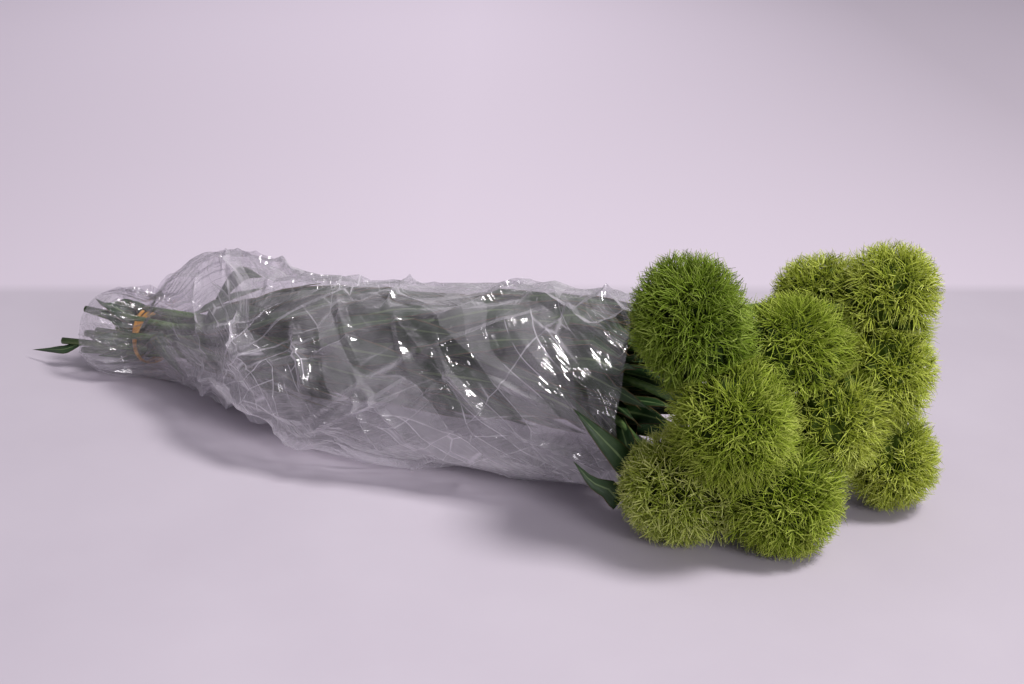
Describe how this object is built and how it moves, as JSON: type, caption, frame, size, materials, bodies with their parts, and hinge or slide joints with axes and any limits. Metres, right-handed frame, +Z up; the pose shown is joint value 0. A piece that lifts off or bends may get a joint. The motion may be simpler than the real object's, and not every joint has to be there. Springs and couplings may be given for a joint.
{
  "type": "sweet william bunch",
  "caption": "Bunch of green ball-headed sweet william lying on its side: fuzzy round heads on leafy stems, tied by a rubber band inside a clear film sleeve.",
  "frame": {"origin": "middle of the bunch's bounding box, on the surface that it lies on", "axes": "+X along the bunch from the cut ends to the heads, +Z up from the surface, +Y across"},
  "size_m": [0.6889, 0.1942, 0.1779],
  "materials": {
    "green_bracts": "matte yellow-green bracts with paler tips",
    "stem_and_leaf": "satin dark green leaf and stem",
    "clear_film": "clear glossy crumpled film",
    "rubber": "matte amber rubber"
  },
  "bodies": {
    "root": {"head_1": "green_bracts", "head_2": "green_bracts", "head_3": "green_bracts", "head_4": "green_bracts", "head_5": "green_bracts", "head_6": "green_bracts", "head_7": "green_bracts", "head_8": "green_bracts", "head_9": "green_bracts", "head_10": "green_bracts", "stem_1": "stem_and_leaf", "stem_2": "stem_and_leaf", "stem_3": "stem_and_leaf", "stem_4": "stem_and_leaf", "stem_5": "stem_and_leaf", "stem_6": "stem_and_leaf", "stem_7": "stem_and_leaf", "stem_8": "stem_and_leaf", "stem_9": "stem_and_leaf", "stem_10": "stem_and_leaf", "film_sleeve": "clear_film", "rubber_band": "rubber"}
  },
  "joints": []
}
